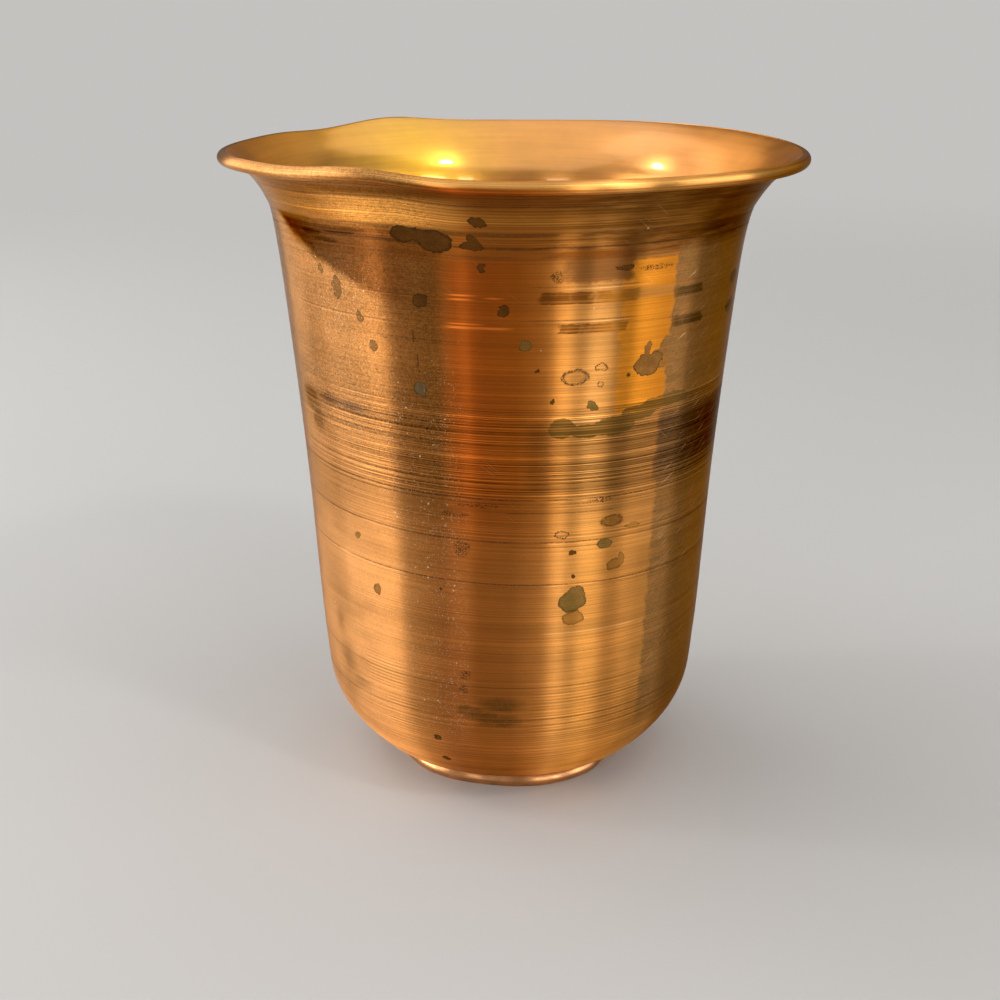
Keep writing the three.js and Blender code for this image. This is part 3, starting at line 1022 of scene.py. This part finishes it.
    # Stains, bars, smudges and streaks. The turning lines show through each of them.
    stain = times(ramp(nearest(smeared, STAINS), 0.93, 1, 1, 0), ramp(strand, 0.42, 0.62, 0.97, 0.58))
    cover(stain, (0.11, 0.053, 0.007))
    bar = times(line_marks(BARS, bar_level, jagged_angle, 0.5), ramp(strand, 0.44, 0.6, 0.97, 0.6))
    bar_tone = mix(ramp(angle, -74, -66), (0.17, 0.052, 0.006), (0.32, 0.115, 0.013))
    bar_tone = mix(ramp(angle, -52, -48), bar_tone, (0.085, 0.042, 0.014))
    cover(bar, bar_tone, ramp(patch, 0.3, 0.5, 0.6, 1))
    smear = ramp(nearest(smeared, SMEARS), 0.1, 1.1, 0.45, 0)
    smudge = most(ramp(nearest(smeared, SMUDGES), 0.3, 1.1, 0.85, 0), smear)
    smudge = times(smudge, ramp(grain, 0.35, 0.6, 0.6, 1))
    smudge = times(smudge, ramp(strand, 0.4, 0.6, 1, 0.6))
    cover(smudge, mix(ramp(angle, -130, -105), (0.085, 0.046, 0.03), (0.1, 0.05, 0.01)))
    streak = ramp(nearest(smeared, STREAKS), 0.8, 1.02, 1, 0)
    cover(streak, (0.02, 0.008, 0.003), ramp(strand, 0.42, 0.58, 0.9, 0.35))

    # Spots worn to a broken ring, clusters of specks, and faint spots.
    away = nearest(ragged, WORN_SPOTS)
    worn = times(ramp(away, 0.98, 1.05, 1, 0), ramp(away, 0.55, 0.8, 0.1, 1))
    worn = times(worn, ramp(grain, 0.4, 0.52, 0.25, 0.95))
    cover(worn, (0.11, 0.05, 0.014))
    speckled = ramp(nearest(smeared, SPECKLED), 0.8, 1.1, 1, 0)
    cover(speckled, (0.08, 0.032, 0.01), ramp(grain, 0.48, 0.56, 0.08, 0.85))
    away = nearest(ragged, FAINT_SPOTS)
    to_front = ramp(angle, -115, -85)
    faint_tone = mix(to_front, (0.1, 0.05, 0.015), (0.34, 0.14, 0.024))
    rim_tone = mix(to_front, (0.05, 0.022, 0.006), (0.14, 0.058, 0.01))
    cover(ramp(away, 0.95, 1.02, 0.75, 0), mix(ramp(away, 0.7, 0.9), faint_tone, rim_tone))

    # Hard-edged spots with a rim: the marks, where the edge starts, the share that is covered, where
    # the rim starts and is full, and the two tones.
    olive = mix(ramp(patch, 0.42, 0.6), (0.135, 0.088, 0.018), (0.15, 0.076, 0.02))
    olive = mix(ramp(angle, -108, -100, 1, 0), olive, (0.125, 0.088, 0.042))
    mottle = times(ramp(patch, 0.35, 0.65, 0.84, 1.16), ramp(grain, 0.3, 0.7, 0.85, 1.15))
    tarnish_and_painted_sheen = times(stain, 0.45)
    for marks, edge, share, rim, full, tone, rim_tone in (
        (PALE_SPOTS, 0.97, 0.95, 0.84, 0.96, (0.21, 0.092, 0.02), (0.08, 0.034, 0.007)),
        (BROWN_SPOTS, 0.96, 0.95, 0.75, 0.93, (0.085, 0.032, 0.005), (0.05, 0.018, 0.003)),
        (GREEN_SPOTS, 0.94, 0.88, 0.74, 0.92, olive, (0.06, 0.04, 0.007)),
    ):
        away = nearest(ragged, marks)
        inside = ramp(away, edge, 1, share, 0)
        cover(inside, finish.shade(mix(ramp(away, rim, full), tone, rim_tone), mottle))
        tarnish_and_painted_sheen = most(tarnish_and_painted_sheen, inside)

    # Dust, thickest left of the middle.
    dust = most(times(specks(0.3, 0.09, 0.75), 0.42), times(specks(0.9, 0.14, 0.45), 0.85))
    dust = times(dust, times(area(DUSTY_FRONT), ramp(patch, 0.38, 0.58, 0.3, 1)))
    sandy = times(area(SANDY_LEFT), specks(0.34, 0.1, 0.75))
    dust = most(dust, times(sandy, 0.26))
    dust = most(dust, times(specks(3.4, 0.12, 0.3), 0.7))
    cover(dust, (0.75, 0.58, 0.36))

    # Bare metal shines, and what covers it is dull, and so is the painted reflection under the lip.
    for share in (worn, dust, times(painted_flare_sheen, 0.7)):
        tarnish_and_painted_sheen = most(tarnish_and_painted_sheen, share)
    finish.set("Base Color", finish.colour)
    finish.set("Metallic", ramp(tarnish_and_painted_sheen, 0, 1, 1, 0.4, smooth=False))
    finish.set("Specular IOR Level", ramp(tarnish_and_painted_sheen, 0, 1, 0.5, 0.06, smooth=False))
    edge_tone = mix(smudge, wheel(angle, EDGE_TONES), (0.48, 0.34, 0.26))
    # The grazing tint is darker under the painted shadow of the lip as well.
    edge_tone = mix(painted_lip_shadow, edge_tone, (0.42, 0.28, 0.2))
    finish.set("Specular Tint", mix(times(rough_right, 0.6), edge_tone, (0.32, 0.24, 0.2)))
    rough = add(ramp(cloud, 0.3, 0.7, 0.29, 0.35), minus(strand, 0.5), 0.1)
    finish.set("Roughness", add(add(rough, tarnish_and_painted_sheen, 0.12), bead, 0.1))
    finish.turned_grain(1.0)
    height = add(times(strand, add(0.2, strength, 1.3)), hair, 0.3)
    finish.relief(add(height, grain, 0.05), 0.022)
    return finish.material


def lined(finish, colour, line, contrast):
    """The colour with fine lines in it."""
    return finish.shade(colour, finish.add(1, finish.minus(line, 0.5), contrast))


def inner_copper():
    finish = Finish("cup_inner_copper")
    line, _ = finish.noise(finish.place, (20, 20, 0.5), 2, 0.6)
    hair, _ = finish.noise(finish.place, (8, 8, 0.15), 1)
    cloud, _ = finish.noise(finish.place, (9, 9, 7), 3, 0.6)
    colour = finish.wheel(finish.around(), WELL_TONES)
    colour = finish.shade(colour, finish.ramp(cloud, 0.3, 0.7, 0.93, 1.06))
    finish.set("Base Color", lined(finish, colour, line, 0.3))
    finish.set("Metallic", 1.0)
    finish.set("Roughness", finish.ramp(cloud, 0.3, 0.7, 0.28, 0.34))
    finish.set("Specular Tint", (0.93, 0.65, 0.45, 1))
    # The middle of the well is polished, and its two sides are not.
    finish.set("Coat Weight", finish.ramp(finish.math("ABSOLUTE", finish.across), 20, 34, 0.9, 0))
    finish.set("Coat Roughness", 0.05)
    finish.turned_grain(0.3)
    finish.relief(finish.add(line, hair, 0.3), 0.012)
    return finish.material


def foot_copper():
    finish = Finish("foot_copper")
    line, _ = finish.noise(finish.place, (9, 9, 0.3), 2, 0.6)
    cloud, _ = finish.noise(finish.place, (4, 4, 2), 3, 0.6)
    colour = finish.mix(finish.ramp(cloud, 0.35, 0.65), (0.66, 0.31, 0.12), (0.42, 0.2, 0.08))
    finish.set("Base Color", lined(finish, colour, line, 0.6))
    finish.set("Metallic", 1.0)
    finish.set("Roughness", finish.ramp(cloud, 0.3, 0.7, 0.3, 0.42))
    finish.turned_grain(0.5)
    finish.relief(line, 0.02)
    return finish.material


def braze_metal():
    finish = Finish("braze")
    cloud, _ = finish.noise(finish.place, (1.2, 1.2, 1), 3, 0.6)
    colour = finish.mix(finish.ramp(cloud, 0.35, 0.65), (0.42, 0.3, 0.12), (0.24, 0.15, 0.06))
    finish.set("Base Color", colour)
    finish.set("Metallic", 1.0)
    finish.set("Roughness", finish.ramp(cloud, 0.3, 0.7, 0.4, 0.6))
    finish.relief(cloud, 0.08)
    return finish.material


def stands_for(piece, node):
    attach(piece, "root")
    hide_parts(node)


stands_for(make_cup(outer_copper(), inner_copper()), "cup_body")
stands_for(make_foot(foot_copper()), "foot_ring")
stands_for(make_braze(braze_metal()), "braze_fillet")


def floor_finish():
    """Pale and matt. Far off, the camera sees it as pale as nearby."""
    finish = Finish("floor")
    finish.set("Base Color", (*FLOOR_TONE, 1))
    finish.set("Roughness", 0.8)
    finish.set("Specular IOR Level", 0.2)
    far = finish.nodes.new("ShaderNodeEmission")
    far.inputs["Color"].default_value = (*BACKDROP, 1)
    fade = finish.ramp(finish.vector("LENGTH", finish.place), FLOOR_FADE_START, FLOOR_FADE_END)
    ray = finish.nodes.new("ShaderNodeLightPath")
    blend = finish.nodes.new("ShaderNodeMixShader")
    seen = finish.times(fade, ray.outputs["Is Camera Ray"])
    for value, socket in zip((seen, finish.surface.outputs[0], far.outputs[0]), blend.inputs):
        finish.join(value, socket)
    finish.join(blend.outputs[0], finish.nodes["Material Output"].inputs["Surface"])
    return finish.material


def make_floor():
    """A plain pale floor that runs to the horizon."""
    corners = [(x * FLOOR_REACH, y * FLOOR_REACH, 0) for x, y in ((-1, -1), (1, -1), (1, 1), (-1, 1))]
    floor = new_piece("floor", corners, [(0, 1, 2, 3)])
    floor.data.materials.append(floor_finish())


def make_lamp(name, azimuth, elevation, distance, width, height, power):
    data = bpy.data.lights.new(name, "AREA")
    data.shape = "ELLIPSE" if width == height else "RECTANGLE"
    data.size = width * MM
    data.size_y = height * MM
    data.energy = power
    lamp = bpy.data.objects.new(name, data)
    a = math.radians(azimuth)
    e = math.radians(elevation)
    way = Vector((math.sin(a) * math.cos(e), -math.cos(a) * math.cos(e), math.sin(e)))
    lamp.location = Vector((0, 0, LAMP_TARGET * MM)) + way * distance * MM
    lamp.rotation_mode = "QUATERNION"
    lamp.rotation_quaternion = way.to_track_quat("Z", "Y")
    bpy.context.scene.collection.objects.link(lamp)


def make_world():
    """Dim even light, seen by the camera as the far floor is."""
    world = bpy.data.worlds.new("world")
    bpy.context.scene.world = world
    world.use_nodes = True
    nodes = world.node_tree.nodes
    links = world.node_tree.links
    ray = nodes.new("ShaderNodeLightPath")
    tone = nodes.new("ShaderNodeMix")
    tone.data_type = "RGBA"
    tone.inputs[6].default_value = (*WORLD_LIGHT, 1)
    tone.inputs[7].default_value = (*BACKDROP, 1)
    links.new(ray.outputs["Is Camera Ray"], tone.inputs[0])
    links.new(tone.outputs[2], nodes["Background"].inputs["Color"])


def make_camera():
    data = bpy.data.cameras.new("camera")
    data.sensor_width = SENSOR_WIDTH
    data.lens = CAMERA_LENS
    data.clip_start = NEAREST_SEEN * MM
    data.clip_end = FARTHEST_SEEN * MM
    camera = bpy.data.objects.new("camera", data)
    camera.location = Vector(CAMERA_PLACE) * MM
    camera.rotation_euler = (CAMERA_TILT, 0, 0)
    bpy.context.scene.collection.objects.link(camera)
    bpy.context.scene.camera = camera


make_floor()
make_world()
make_camera()
for lamp_name, lamp_values in LAMPS.items():
    make_lamp(lamp_name, *lamp_values)

bpy.context.scene.view_settings.view_transform = "Standard"
